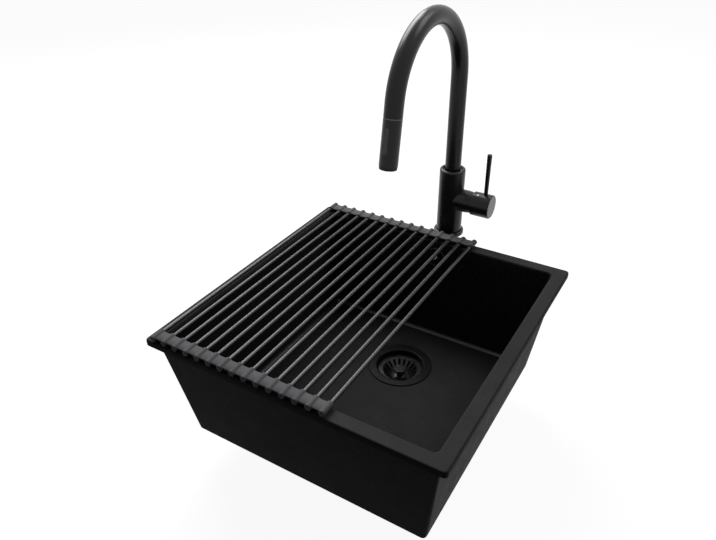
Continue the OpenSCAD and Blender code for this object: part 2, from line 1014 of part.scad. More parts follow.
sink_bowl();
drain_body();
drain_washers();
drain_locknut();
strainer_basket();
strainer_stopper();
strainer_knob();
overflow_cover();
overflow_elbow();
overflow_gasket();
overflow_screw();
tap_base_ring();
tap_body();
tap_shank();
tap_washers();
tap_nut();
spout();
spout_bush();
spray_hose();
cartridge();
cartridge_nut();
cartridge_rotor();
lever_pin();
lever_cap();
lever_stick();
hot_cold_mark();
spray_collar();
spray_shell();
spray_face();
spray_button();
for (i = [1:rod_count]) {
  rack_rod(i);
  rack_grip(i);
}
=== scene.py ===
"""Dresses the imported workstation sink: finishes, silicone strips, hose, threads, studio and camera."""

import json
import logging
import math
from dataclasses import dataclass, field
from enum import Enum
from typing import Callable, Iterable, Sequence

import bmesh
import bpy
from mathutils import Matrix, Vector
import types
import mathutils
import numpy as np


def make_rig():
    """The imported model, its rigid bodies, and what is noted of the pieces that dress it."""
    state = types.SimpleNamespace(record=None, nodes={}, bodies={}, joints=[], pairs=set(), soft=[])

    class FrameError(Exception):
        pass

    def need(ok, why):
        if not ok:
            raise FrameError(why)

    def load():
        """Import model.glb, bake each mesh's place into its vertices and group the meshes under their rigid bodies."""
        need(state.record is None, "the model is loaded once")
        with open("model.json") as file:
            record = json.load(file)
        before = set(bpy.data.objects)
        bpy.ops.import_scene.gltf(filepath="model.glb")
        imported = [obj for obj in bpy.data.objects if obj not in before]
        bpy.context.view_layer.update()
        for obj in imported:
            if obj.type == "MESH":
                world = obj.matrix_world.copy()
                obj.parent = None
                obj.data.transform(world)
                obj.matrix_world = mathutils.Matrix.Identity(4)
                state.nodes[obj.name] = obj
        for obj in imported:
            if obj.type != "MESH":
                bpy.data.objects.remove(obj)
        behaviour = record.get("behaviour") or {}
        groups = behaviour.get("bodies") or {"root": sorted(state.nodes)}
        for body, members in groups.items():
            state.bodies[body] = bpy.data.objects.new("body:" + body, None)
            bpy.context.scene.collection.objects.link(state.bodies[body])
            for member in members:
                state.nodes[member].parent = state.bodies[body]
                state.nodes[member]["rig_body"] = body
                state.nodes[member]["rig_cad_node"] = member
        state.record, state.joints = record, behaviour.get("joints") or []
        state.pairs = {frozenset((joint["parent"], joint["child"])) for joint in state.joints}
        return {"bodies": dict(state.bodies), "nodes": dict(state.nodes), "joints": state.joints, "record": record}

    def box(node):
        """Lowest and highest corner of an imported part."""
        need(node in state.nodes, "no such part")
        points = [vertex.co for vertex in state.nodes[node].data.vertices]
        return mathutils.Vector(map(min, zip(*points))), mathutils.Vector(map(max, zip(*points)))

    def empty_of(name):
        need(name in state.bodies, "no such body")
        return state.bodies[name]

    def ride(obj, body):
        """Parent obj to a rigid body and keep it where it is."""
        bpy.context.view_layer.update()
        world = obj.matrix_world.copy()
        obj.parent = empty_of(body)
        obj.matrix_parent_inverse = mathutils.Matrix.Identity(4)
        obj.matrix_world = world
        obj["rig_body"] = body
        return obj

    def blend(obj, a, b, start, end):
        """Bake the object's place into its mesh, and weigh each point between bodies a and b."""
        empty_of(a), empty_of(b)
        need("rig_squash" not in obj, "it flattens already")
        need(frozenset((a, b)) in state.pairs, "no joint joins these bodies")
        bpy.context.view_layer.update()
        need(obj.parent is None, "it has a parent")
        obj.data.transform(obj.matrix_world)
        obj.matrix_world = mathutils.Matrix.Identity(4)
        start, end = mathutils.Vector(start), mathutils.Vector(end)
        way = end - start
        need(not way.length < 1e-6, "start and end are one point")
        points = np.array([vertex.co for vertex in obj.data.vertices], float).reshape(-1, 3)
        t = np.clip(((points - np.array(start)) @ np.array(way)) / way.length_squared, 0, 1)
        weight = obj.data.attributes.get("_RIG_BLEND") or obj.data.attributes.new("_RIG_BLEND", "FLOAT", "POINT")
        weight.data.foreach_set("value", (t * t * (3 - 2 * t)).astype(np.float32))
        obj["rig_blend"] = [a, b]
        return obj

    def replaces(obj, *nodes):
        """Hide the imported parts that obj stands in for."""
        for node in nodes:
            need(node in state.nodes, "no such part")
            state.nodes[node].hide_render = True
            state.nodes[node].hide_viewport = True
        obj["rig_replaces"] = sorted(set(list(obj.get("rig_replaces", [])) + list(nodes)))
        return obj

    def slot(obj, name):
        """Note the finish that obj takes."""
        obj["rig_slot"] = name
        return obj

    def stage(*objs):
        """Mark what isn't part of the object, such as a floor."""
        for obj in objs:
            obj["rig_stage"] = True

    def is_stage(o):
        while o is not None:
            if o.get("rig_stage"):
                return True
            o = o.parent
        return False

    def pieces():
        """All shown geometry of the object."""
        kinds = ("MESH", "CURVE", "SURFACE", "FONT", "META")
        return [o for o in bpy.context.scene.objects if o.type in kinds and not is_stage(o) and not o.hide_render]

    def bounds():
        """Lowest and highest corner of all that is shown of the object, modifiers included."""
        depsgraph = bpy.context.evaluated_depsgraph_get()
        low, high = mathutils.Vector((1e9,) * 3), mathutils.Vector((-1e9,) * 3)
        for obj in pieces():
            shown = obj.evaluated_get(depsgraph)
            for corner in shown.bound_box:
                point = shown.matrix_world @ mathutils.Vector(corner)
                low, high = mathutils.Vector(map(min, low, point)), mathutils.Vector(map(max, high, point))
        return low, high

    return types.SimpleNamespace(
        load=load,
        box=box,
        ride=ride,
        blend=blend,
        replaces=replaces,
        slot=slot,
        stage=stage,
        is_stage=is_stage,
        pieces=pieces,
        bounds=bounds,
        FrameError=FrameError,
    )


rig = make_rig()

LOG = logging.getLogger("sink")
MM = 0.001

Colour = tuple[float, float, float]
Point = tuple[float, float, float]
Span = tuple[float, float]


class Pattern(Enum):
    """The fine structure that a finish shows."""

    GRAIN = "grain"
    SPECKLE = "speckle"
    BRUSHED = "brushed"
    BRAID = "braid"


class Wrap(Enum):
    """How a skin ends along its length."""

    OPEN = "open"
    CLOSED = "closed"


# ---------------------------------------------------------------- finishes


@dataclass(frozen=True)
class Finish:
    """One procedural surface finish.

    Args:
        name: Name of the material.
        slot: Material slot of the record that it stands for.
        base: Main colour, linear.
        drift: Second colour that a slow noise mixes in, linear.
        rough: Lowest and highest roughness.
        metallic: Share of metal.
        specular: Strength of the clear reflection.
        grain_mm: Size of the fine structure.
        bump: Strength of the fine structure's relief.
        wear: Colour of rubbed edges, linear.
        wear_share: How strongly rubbed edges show.
        pattern: The fine structure.
    """

    name: str
    slot: str
    base: Colour
    drift: Colour
    rough: Span
    metallic: float = 0.0
    specular: float = 0.4
    grain_mm: float = 0.6
    bump: float = 0.15
    wear: Colour = (0.2, 0.2, 0.2)
    wear_share: float = 0.15
    pattern: Pattern = Pattern.GRAIN

    def material(self) -> bpy.types.Material:
        """Builds the node tree once.

        Returns:
            The Blender material.
        """
        known = bpy.data.materials.get(self.name)
        if known is not None:
            return known
        return Painter(self).paint()


@dataclass(frozen=True)
class Fleck:
    """One kind of mineral fleck in the composite.

    Args:
        size_mm: Distance from fleck to fleck.
        colour: Its colour, linear.
        reach: Its radius as a share of that distance.
    """

    size_mm: float
    colour: Colour
    reach: float


FLECKS = (Fleck(0.9, (0.1, 0.1, 0.103), 0.16), Fleck(0.7, (0.015, 0.015, 0.015), 0.2))

# Sizes of the slow noises behind the colour, the rubbed edges and the smudges, in millimetres
DRIFT_MM, RUB_MM, SMUDGE_MM = 45, 6, 18
# Angle of the braid's strands to the hose, in degrees
BRAID_TURN = 35
# Length of a brushed streak over its width
STREAK = 14


@dataclass
class Painter:
    """Writes the node tree of one finish.

    Args:
        finish: The finish to write.
    """

    finish: Finish
    tree: bpy.types.NodeTree = field(init=False)

    def node(self, kind: str, **values: object) -> bpy.types.Node:
        """Adds a node and sets its properties.

        Args:
            kind: Blender's name of the node type.
            **values: Properties of the node.

        Returns:
            The new node.
        """
        made = self.tree.nodes.new(kind)
        for key, value in values.items():
            setattr(made, key, value)
        return made

    def noise(self, place: bpy.types.NodeSocket, size_mm: float, detail: float = 3.0) -> bpy.types.NodeSocket:
        """Adds a noise of a feature size.

        Args:
            place: Socket with the coordinates.
            size_mm: Size of one feature.
            detail: Number of octaves.

        Returns:
            The noise's factor socket.
        """
        made = self.node("ShaderNodeTexNoise")
        made.inputs["Scale"].default_value = 1 / (size_mm * MM)
        made.inputs["Detail"].default_value = detail
        self.tree.links.new(place, made.inputs["Vector"])
        return made.outputs["Fac"]

    def spread(self, value: bpy.types.NodeSocket, source: Span, target: Span) -> bpy.types.NodeSocket:
        """Maps a range of values to another.

        Args:
            value: Socket to map.
            source: Range that it comes in.
            target: Range that it goes to.

        Returns:
            The mapped socket.
        """
        made = self.node("ShaderNodeMapRange")
        made.inputs["From Min"].default_value, made.inputs["From Max"].default_value = source
        made.inputs["To Min"].default_value, made.inputs["To Max"].default_value = target
        self.tree.links.new(value, made.inputs["Value"])
        return made.outputs["Result"]

    def mix(self, share: bpy.types.NodeSocket, first: object, second: object) -> bpy.types.NodeSocket:
        """Mixes two colours.

        Args:
            share: Socket with the second colour's share.
            first: Colour or socket.
            second: Colour or socket.

        Returns:
            The mixed colour's socket.
        """
        made = self.node("ShaderNodeMix", data_type="RGBA")
        self.tree.links.new(share, made.inputs[0])
        for socket, value in ((made.inputs[6], first), (made.inputs[7], second)):
            if isinstance(value, tuple):
                socket.default_value = (*value, 1.0)
            else:
                self.tree.links.new(value, socket)
        return made.outputs[2]

    def product(self, first: bpy.types.NodeSocket, second: object) -> bpy.types.NodeSocket:
        """Multiplies a socket with a number or another socket.

        Args:
            first: Socket.
            second: Number or socket.

        Returns:
            The product's socket.
        """
        made = self.node("ShaderNodeMath", operation="MULTIPLY")
        self.tree.links.new(first, made.inputs[0])
        if isinstance(second, float):
            made.inputs[1].default_value = second
        else:
            self.tree.links.new(second, made.inputs[1])
        return made.outputs[0]

    def relief(self, place: bpy.types.NodeSocket) -> bpy.types.NodeSocket:
        """Adds the height of the fine structure.

        Args:
            place: Socket with the coordinates.

        Returns:
            The height's socket.
        """
        f = self.finish
        if f.pattern is Pattern.BRAID:
            heights = []
            for turn in (BRAID_TURN, -BRAID_TURN):
                turned = self.node("ShaderNodeMapping")
                turned.inputs["Rotation"].default_value = (math.radians(turn), 0, 0)
                self.tree.links.new(place, turned.inputs["Vector"])
                wave = self.node("ShaderNodeTexWave", wave_type="BANDS", bands_direction="Z")
                wave.inputs["Scale"].default_value = 0.32 / (f.grain_mm * MM)
                self.tree.links.new(turned.outputs[0], wave.inputs["Vector"])
                heights.append(wave.outputs["Fac"])
            top = self.node("ShaderNodeMath", operation="MAXIMUM")
            self.tree.links.new(heights[0], top.inputs[0])
            self.tree.links.new(heights[1], top.inputs[1])
            return top.outputs[0]
        if f.pattern is Pattern.BRUSHED:
            turned = self.node("ShaderNodeMapping")
            turned.inputs["Scale"].default_value = (1, 1, STREAK)
            self.tree.links.new(place, turned.inputs["Vector"])
            return self.noise(turned.outputs[0], f.grain_mm * 6, 4)
        return self.noise(place, f.grain_mm, 4)

    def speckles(self, place: bpy.types.NodeSocket, under: bpy.types.NodeSocket) -> bpy.types.NodeSocket:
        """Adds pale and dark mineral flecks.

        Args:
            place: Socket with the coordinates.
            under: Colour that they lie on.

        Returns:
            The colour's socket.
        """
        for fleck in FLECKS:
            cells = self.node("ShaderNodeTexVoronoi")
            cells.inputs["Scale"].default_value = 1 / (fleck.size_mm * MM)
            self.tree.links.new(place, cells.inputs["Vector"])
            near = self.spread(cells.outputs["Distance"], (fleck.reach + 0.1, fleck.reach), (0.0, 1.0))
            chosen = self.spread(self.noise(place, fleck.size_mm * 3, 1), (0.54, 0.6), (0.0, 0.75))
            under = self.mix(self.product(near, chosen), under, fleck.colour)
        return under

    def paint(self) -> bpy.types.Material:
        """Writes the whole tree.

        Returns:
            The material.
        """
        f = self.finish
        made = bpy.data.materials.new(f.name)
        made.use_nodes = True
        self.tree = made.node_tree
        shader = self.tree.nodes["Principled BSDF"]
        place = self.node("ShaderNodeTexCoord").outputs["Object"]
        colour = self.mix(self.spread(self.noise(place, DRIFT_MM, 4), (0.35, 0.65), (0.0, 1.0)), f.base, f.drift)
        if f.pattern is Pattern.SPECKLE:
            colour = self.speckles(place, colour)
        edge = self.spread(self.node("ShaderNodeNewGeometry").outputs["Pointiness"], (0.53, 0.62), (0.0, 1.0))
        rubbed = self.product(edge, self.spread(self.noise(place, RUB_MM, 5), (0.4, 0.7), (0.0, f.wear_share)))
        colour = self.mix(rubbed, colour, f.wear)
        self.tree.links.new(colour, shader.inputs["Base Color"])
        smudge = self.spread(self.noise(place, SMUDGE_MM, 6), (0.3, 0.7), f.rough)
        self.tree.links.new(smudge, shader.inputs["Roughness"])
        bump = self.node("ShaderNodeBump")
        bump.inputs["Strength"].default_value = f.bump
        bump.inputs["Distance"].default_value = f.grain_mm * MM * 0.25
        self.tree.links.new(self.relief(place), bump.inputs["Height"])
        self.tree.links.new(bump.outputs[0], shader.inputs["Normal"])
        shader.inputs["Metallic"].default_value = f.metallic
        shader.inputs["Specular IOR Level"].default_value = f.specular
        return made


# The bowl is one composite. Its rim, outside, inside and the rounding at its floor have finishes of their own
# only to match the photograph's brightness, and their low specular strength is for that match too. The outside and
# the inside are darker copies of the rim's finish, which is painted shade; the rounding is a glossier copy.
COMPOSITE = Finish("composite", "composite_black", (0.034, 0.034, 0.035), (0.039, 0.039, 0.04), (0.4, 0.48),
                   specular=0.012, grain_mm=0.7, bump=0.25, wear=(0.09, 0.09, 0.092), wear_share=0.5,
                   pattern=Pattern.SPECKLE)
# Darker copy of the composite for the bowl's outside and underside: painted shade.
SHADED_OUTSIDE = Finish("composite_painted_shade_outside", "composite_black", (0.014, 0.014, 0.0143), (0.017, 0.017, 0.0173), (0.42, 0.5),
               specular=0.006, grain_mm=0.9, bump=0.3, wear=(0.07, 0.07, 0.072), wear_share=0.5,
               pattern=Pattern.SPECKLE)
# Darker copy of the composite for the bowl's inside below the rim: painted shade.
SHADED_INSIDE = Finish("composite_painted_shade_inside", "composite_black", (0.025, 0.025, 0.0255), (0.029, 0.029, 0.0295), (0.4, 0.48),
               specular=0.012, grain_mm=0.7, bump=0.25, wear=(0.08, 0.08, 0.082), wear_share=0.5,
               pattern=Pattern.SPECKLE)
CORNER = Finish("composite_corner", "composite_black", (0.034, 0.034, 0.035), (0.039, 0.039, 0.04), (0.34, 0.4),
                specular=0.3, grain_mm=0.7, bump=0.1, wear=(0.09, 0.09, 0.092), wear_share=0.5)
COATED = Finish("powder_coat", "coated_metal_black", (0.02, 0.02, 0.0205), (0.025, 0.025, 0.0255), (0.24, 0.31),
                specular=0.22, grain_mm=0.25, bump=0.1, wear=(0.03, 0.03, 0.032), wear_share=0.3)
ROD = Finish("rod_coat", "coated_metal_black", (0.012, 0.012, 0.0122), (0.016, 0.016, 0.0162), (0.2, 0.24),
             specular=0.34, grain_mm=0.25, bump=0.015, wear=(0.1, 0.1, 0.1), wear_share=0.2)
# Lighter copy of the tap's black coat for the spray head's shell: painted highlight.
HEAD_PAINTED_HIGHLIGHT = Finish("spray_head_painted_highlight", "coated_metal_black", (0.042, 0.042, 0.0425), (0.047, 0.047, 0.0475), (0.24, 0.31),
              specular=0.22, grain_mm=0.25, bump=0.1, wear=(0.05, 0.05, 0.052), wear_share=0.3)
DRAIN = Finish("drain_coat", "drain_metal", (0.006, 0.006, 0.0061), (0.009, 0.009, 0.0091), (0.26, 0.34),
               specular=0.3, grain_mm=0.3, bump=0.1, wear=(0.1, 0.1, 0.1), wear_share=0.4)
FLANGE = Finish("drain_flange_coat", "drain_metal", (0.004, 0.004, 0.0041), (0.006, 0.006, 0.0061), (0.34, 0.44),
                specular=0.08, grain_mm=0.3, bump=0.1, wear=(0.05, 0.05, 0.05), wear_share=0.4)
STEEL = Finish("bare_steel", "bare_steel", (0.5, 0.5, 0.5), (0.42, 0.42, 0.43), (0.24, 0.36),
               metallic=1.0, grain_mm=0.2, bump=0.1, wear=(0.7, 0.7, 0.7), pattern=Pattern.BRUSHED)
DARK_STEEL = Finish("dark_steel", "bare_steel", (0.075, 0.075, 0.077), (0.06, 0.06, 0.062), (0.3, 0.4),
                    metallic=1.0, grain_mm=0.2, bump=0.1, wear=(0.2, 0.2, 0.2), pattern=Pattern.BRUSHED)
BRASS = Finish("turned_brass", "brass", (0.62, 0.44, 0.18), (0.5, 0.35, 0.14), (0.24, 0.4),
               metallic=1.0, grain_mm=0.2, bump=0.12, wear=(0.75, 0.58, 0.3), pattern=Pattern.BRUSHED)
RUBBER = Finish("black_rubber", "black_rubber", (0.008, 0.008, 0.008), (0.013, 0.013, 0.012), (0.6, 0.75),
                specular=0.15, grain_mm=0.5, bump=0.2, wear=(0.05, 0.05, 0.05))
SILICONE = Finish("silicone", "silicone_grey", (0.092, 0.093, 0.097), (0.105, 0.106, 0.11), (0.5, 0.62),
                  specular=0.03, grain_mm=0.35, bump=0.12, wear=(0.15, 0.15, 0.155), wear_share=0.3)
MOULDED = Finish("black_moulding", "black_plastic", (0.012, 0.012, 0.012), (0.018, 0.018, 0.018), (0.42, 0.55),
                 specular=0.25, grain_mm=0.4, bump=0.2, wear=(0.07, 0.07, 0.07))
GREY = Finish("grey_moulding", "grey_plastic", (0.21, 0.211, 0.215), (0.23, 0.231, 0.235), (0.38, 0.5),
              specular=0.3, grain_mm=0.35, bump=0.15, wear=(0.12, 0.12, 0.12))
# Lighter, glossier copy of the cap's black coat for its end face: a painted highlight where that face turns to the
# light.
CAP_END_HIGHLIGHT = Finish("cap_end_painted_highlight", "coated_metal_black", (0.1, 0.1, 0.102), (0.115, 0.115, 0.117), (0.3, 0.4),
                   specular=0.5, grain_mm=0.25, bump=0.1, wear=(0.12, 0.12, 0.12), wear_share=0.3)
CERAMIC = Finish("valve_moulding", "ceramic_white", (0.6, 0.59, 0.56), (0.55, 0.54, 0.5), (0.4, 0.55), grain_mm=0.5)
HOT = Finish("hot_enamel", "mark_enamel", (0.55, 0.02, 0.025), (0.45, 0.015, 0.02), (0.2, 0.3), grain_mm=0.3, bump=0.05)
COLD = Finish("cold_enamel", "mark_enamel", (0.75, 0.6, 0.62), (0.7, 0.55, 0.57), (0.2, 0.3), grain_mm=0.3, bump=0.05)
HOSE = Finish("hose_braid", "hose_braid", (0.06, 0.06, 0.063), (0.09, 0.09, 0.092), (0.4, 0.55),
              specular=0.5, grain_mm=0.9, bump=0.6, wear=(0.2, 0.2, 0.2), pattern=Pattern.BRAID)

NODE_FINISH: dict[str, Finish] = {
    "sink_bowl": COMPOSITE, "drain_body": FLANGE, "drain_washers": RUBBER, "drain_locknut": MOULDED,
    "strainer_basket": DRAIN, "strainer_stopper": RUBBER, "strainer_knob": DRAIN,
    "overflow_cover": DRAIN, "overflow_elbow": MOULDED, "overflow_gasket": RUBBER, "overflow_screw": STEEL,
    "tap_base_ring": COATED, "tap_body": COATED, "tap_shank": BRASS, "tap_washers": RUBBER, "tap_nut": BRASS,
    "spout": COATED, "spout_bush": GREY, "cartridge": CERAMIC, "cartridge_nut": BRASS,
    "cartridge_rotor": CERAMIC, "lever_pin": STEEL, "lever_cap": COATED, "lever_stick": COATED,
    "hot_cold_mark": HOT, "spray_collar": DARK_STEEL, "spray_shell": HEAD_PAINTED_HIGHLIGHT, "spray_face": RUBBER,
    "spray_button": GREY,
}


# ---------------------------------------------------------------- mesh helpers


def link_mesh(name: str, points: Sequence[Vector], faces: Iterable[Sequence[int]], finish: Finish) -> bpy.types.Object:
    """Makes a smooth-shaded object whose place is in its mesh.

    Args:
        name: Name of the object.
        points: Vertices in metres.
        faces: Vertex numbers of each face.
        finish: Finish of the whole object.

    Returns:
        The linked object.
    """
    mesh = bpy.data.meshes.new(name)
    mesh.from_pydata([tuple(p) for p in points], [], [tuple(f) for f in faces])
    joined = bmesh.new()
    joined.from_mesh(mesh)
    bmesh.ops.remove_doubles(joined, verts=joined.verts, dist=1e-7)
    joined.to_mesh(mesh)
    joined.free()
    mesh.validate()
    mesh.polygons.foreach_set("use_smooth", [True] * len(mesh.polygons))
    mesh.materials.append(finish.material())
    obj = bpy.data.objects.new(name, mesh)
    bpy.context.scene.collection.objects.link(obj)
    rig.slot(obj, finish.slot)
    return obj


def loft(rings: Sequence[Sequence[Vector]], wrap: Wrap = Wrap.OPEN) -> tuple[list[Vector], list[list[int]]]:
    """Joins closed rings of equal size into a skin.

    Args:
        rings: The rings, each a closed outline.
        wrap: Whether the last ring joins the first; if not, the two ends are closed.

    Returns:
        Vertices and faces.
    """
    n = len(rings[0])
    points = [p for ring in rings for p in ring]
    faces: list[list[int]] = []
    last = len(rings) if wrap is Wrap.CLOSED else len(rings) - 1
    for k in range(last):
        a, b = k * n, (k + 1) % len(rings) * n
        faces += [[a + i, a + (i + 1) % n, b + (i + 1) % n, b + i] for i in range(n)]
    if wrap is Wrap.OPEN:
        faces.append(list(range(n))[::-1])
        faces.append([(len(rings) - 1) * n + i for i in range(n)])
    return points, faces


# ---------------------------------------------------------------- geometry nodes


@dataclass(frozen=True)
class Helix:
    """A thread ridge made by a node group: a spiral swept with a small round.

    Args:
        radius: Radius of the thread's crest line.
        pitch: Rise of one turn.
        turns: Number of turns.
        ridge: Radius of the ridge.
    """

    radius: float
    pitch: float
    turns: float
    ridge: float

    @staticmethod
    def group() -> bpy.types.NodeTree:
        """Builds the shared node group once.

        Returns:
            The node group with the inputs Radius, Pitch, Turns, Ridge and Finish.
        """
        known = bpy.data.node_groups.get("thread_helix")
        if known is not None:
            return known
        tree = bpy.data.node_groups.new("thread_helix", "GeometryNodeTree")
        face = tree.interface
        face.new_socket("Radius", in_out="INPUT", socket_type="NodeSocketFloat")
        face.new_socket("Pitch", in_out="INPUT", socket_type="NodeSocketFloat")
        face.new_socket("Turns", in_out="INPUT", socket_type="NodeSocketFloat")
        face.new_socket("Ridge", in_out="INPUT", socket_type="NodeSocketFloat")
        face.new_socket("Finish", in_out="INPUT", socket_type="NodeSocketMaterial")
        face.new_socket("Geometry", in_out="OUTPUT", socket_type="NodeSocketGeometry")
        add, join = tree.nodes.new, tree.links.new
        given, out = add("NodeGroupInput"), add("NodeGroupOutput")
        spiral, rise = add("GeometryNodeCurveSpiral"), add("ShaderNodeMath")
        rise.operation = "MULTIPLY"
        join(given.outputs["Pitch"], rise.inputs[0])
        join(given.outputs["Turns"], rise.inputs[1])
        spiral.inputs["Resolution"].default_value = 40
        join(given.outputs["Turns"], spiral.inputs["Rotations"])
        join(given.outputs["Radius"], spiral.inputs["Start Radius"])
        join(given.outputs["Radius"], spiral.inputs["End Radius"])
        join(rise.outputs[0], spiral.inputs["Height"])
        round_, sweep = add("GeometryNodeCurvePrimitiveCircle"), add("GeometryNodeCurveToMesh")
        round_.inputs["Resolution"].default_value = 6
        join(given.outputs["Ridge"], round_.inputs["Radius"])
        join(spiral.outputs[0], sweep.inputs["Curve"])
        join(round_.outputs[0], sweep.inputs["Profile Curve"])
        sweep.inputs["Fill Caps"].default_value = True
        real, paint = add("GeometryNodeRealizeInstances"), add("GeometryNodeSetMaterial")
        join(sweep.outputs[0], real.inputs[0])
        join(real.outputs[0], paint.inputs["Geometry"])
        join(given.outputs["Finish"], paint.inputs["Material"])
        join(paint.outputs[0], out.inputs[0])
        return tree

    def make(self, name: str, place: Point, finish: Finish, body: str) -> bpy.types.Object:
        """Makes the ridge at a place, with its axis along Z.

        Args:
            name: Name of the object.
            place: Lower end of the axis, in metres.
            finish: Finish of the ridge.
            body: Body that it rides on.

        Returns:
            The thread's object.
        """
        tree = self.group()
        holder = bpy.data.objects.new(name + "_maker", bpy.data.meshes.new(name + "_maker"))
        bpy.context.scene.collection.objects.link(holder)
        maker = holder.modifiers.new("thread", "NODES")
        maker.node_group = tree
        wanted = {"Radius": self.radius, "Pitch": self.pitch, "Turns": self.turns, "Ridge": self.ridge,
                  "Finish": finish.material()}
        for item in tree.interface.items_tree:
            if item.in_out == "INPUT":
                maker[item.identifier] = wanted[item.name]
        bpy.context.view_layer.update()
        shaped = holder.evaluated_get(bpy.context.evaluated_depsgraph_get())
        mesh = bpy.data.meshes.new_from_object(shaped)
        bpy.data.objects.remove(holder)
        mesh.transform(Matrix.Translation(place))
        mesh.name = name
        mesh.polygons.foreach_set("use_smooth", [True] * len(mesh.polygons))
        obj = bpy.data.objects.new(name, mesh)
        bpy.context.scene.collection.objects.link(obj)
        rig.slot(obj, finish.slot)
        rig.ride(obj, body)
        return obj


# ---------------------------------------------------------------- sub-assemblies


@dataclass(frozen=True)
class Rack:
    """The roll-up rack's two silicone strips, with a sleeve on each rod and a web between each pair.

    Args:
        count: Number of rods.
        pitch: Distance from rod to rod.
        first: Place of the first rod along X.
        height: Height of the rods' axes.
        shift: Place of the strips' middle along Y.
        end: Outer end of the sleeves from the middle.
        sleeve: Length of a sleeve.
        cap: Thickness of a sleeve's closed end.
        outer: Radius of a sleeve.
        bore: Radius of its bore.
        web: Width of the web along Y.
        web_in: Distance from a sleeve's inner end to its web.
        web_low: Underside of the web above the axis.
        web_high: Top of the web's ends above the axis.
        web_dip: Depth of the hollow in the web's top.
        web_root: Distance from a rod's axis to its web.
        bend: Half the length of the web that bends.
        soft: Radius of a sleeve's rounded ends.
        edge: Width of the web's bevelled edges.
        steps: Number of a sleeve's sides.
        spans: Number of a web's stretches.
    """

    count: int = 15
    pitch: float = 20.3 * MM
    first: float = -217.1 * MM
    height: float = 14.8 * MM
    shift: float = 2 * MM
    end: float = 238.5 * MM
    sleeve: float = 21.5 * MM
    cap: float = 2 * MM
    outer: float = 4.7 * MM
    bore: float = 3.02 * MM
    web: float = 18.2 * MM
    web_in: float = 1 * MM
    web_low: float = -0.3 * MM
    web_high: float = 2.9 * MM
    web_dip: float = 0.6 * MM
    web_root: float = 3.6 * MM
    bend: float = 6.2 * MM
    soft: float = 0.9 * MM
    edge: float = 0.7 * MM
    steps: int = 40
    spans: int = 24

    def axis_x(self, i: int) -> float:
        """Place of a rod.

        Args:
            i: Number of the rod, from 1.

        Returns:
            Its X in metres.
        """
        return self.first + self.pitch * (i - 1)

    def sleeve_piece(self, i: int) -> bpy.types.Object:
        """Makes both sleeves of a rod as one piece.

        Args:
            i: Number of the rod, from 1.

        Returns:
            The object.
        """
        soft = self.soft
        points: list[Vector] = []
        faces: list[list[int]] = []
        for side in (-1, 1):
            near, far = self.end - self.sleeve, self.end
            line = [(self.bore, near)]
            line += [(self.outer - soft + soft * math.sin(a), near + soft - soft * math.cos(a))
                     for a in (math.radians(d) for d in (0, 30, 60, 90))]
            line += [(self.outer, near + self.sleeve * k / 6) for k in range(1, 6)]
            line += [(self.outer - soft + soft * math.cos(a), far - soft + soft * math.sin(a))
                     for a in (math.radians(d) for d in (0, 30, 60, 90))]
            line += [(0.0, far), (0.0, far - self.cap), (self.bore, far - self.cap), (self.bore, (near + far) / 2)]
            rings = []
            for k in range(self.steps):
                a = 2 * math.pi * k / self.steps
                x, z = math.cos(a), math.sin(a)
                rings.append([Vector((self.axis_x(i) + r * x, self.shift + side * y, self.height + r * z))
                              for r, y in line])
            ring = rings if side > 0 else rings[::-1]
            new_points, new_faces = loft(ring, Wrap.CLOSED)
            faces += [[len(points) + v for v in face] for face in new_faces]
            points += new_points
        obj = link_mesh(f"rack_sleeves_{i:02d}", points, faces, SILICONE)
        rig.replaces(obj, f"rack_grip_{i:02d}")
        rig.ride(obj, f"slat_{i:02d}")
        return obj

    def web_piece(self, i: int) -> bpy.types.Object:
        """Makes the two webs from a rod to the next as one piece that bends between them.

        Args:
            i: Number of the left rod, from 1.

        Returns:
            The object.
        """
        x0, x1 = self.axis_x(i), self.axis_x(i + 1)
        start, end = x0 + self.web_root, x1 - self.web_root
        half, edge, low = self.web / 2, self.edge, self.web_low
        mid = self.end - self.sleeve + self.web_in + half
        points: list[Vector] = []
        faces: list[list[int]] = []
        for side in (-1, 1):
            rings = []
            for k in range(self.spans + 1):
                t = k / self.spans
                x = start + (end - start) * t
                high = self.web_high - self.web_dip * (1 - (2 * t - 1) ** 4)
                ring = [(mid - half + edge, low), (mid + half - edge, low), (mid + half, low + edge),
                        (mid + half, high - edge), (mid + half - edge, high), (mid, high),
                        (mid - half + edge, high), (mid - half, high - edge), (mid - half, low + edge)]
                rings.append([Vector((x, self.shift + side * y, self.height + z)) for y, z in ring])
            new_points, new_faces = loft(rings if side > 0 else rings[::-1])
            faces += [[len(points) + v for v in face[::-1]] for face in new_faces]
            points += new_points
        obj = link_mesh(f"rack_web_{i:02d}", points, faces, SILICONE)
        hinge = (x0 + x1) / 2
        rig.blend(obj, f"slat_{i:02d}", f"slat_{i + 1:02d}",
                 start=(hinge - self.bend, 0, self.height), end=(hinge + self.bend, 0, self.height))
        return obj

    def build(self) -> None:
        """Builds all sleeves and webs, and coats the rods."""
        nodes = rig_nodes()
        for i in range(1, self.count + 1):
            paint(nodes[f"rack_rod_{i:02d}"], ROD)
            self.sleeve_piece(i)
            if i < self.count:
                self.web_piece(i)
        LOG.info("rack: %d rods", self.count)


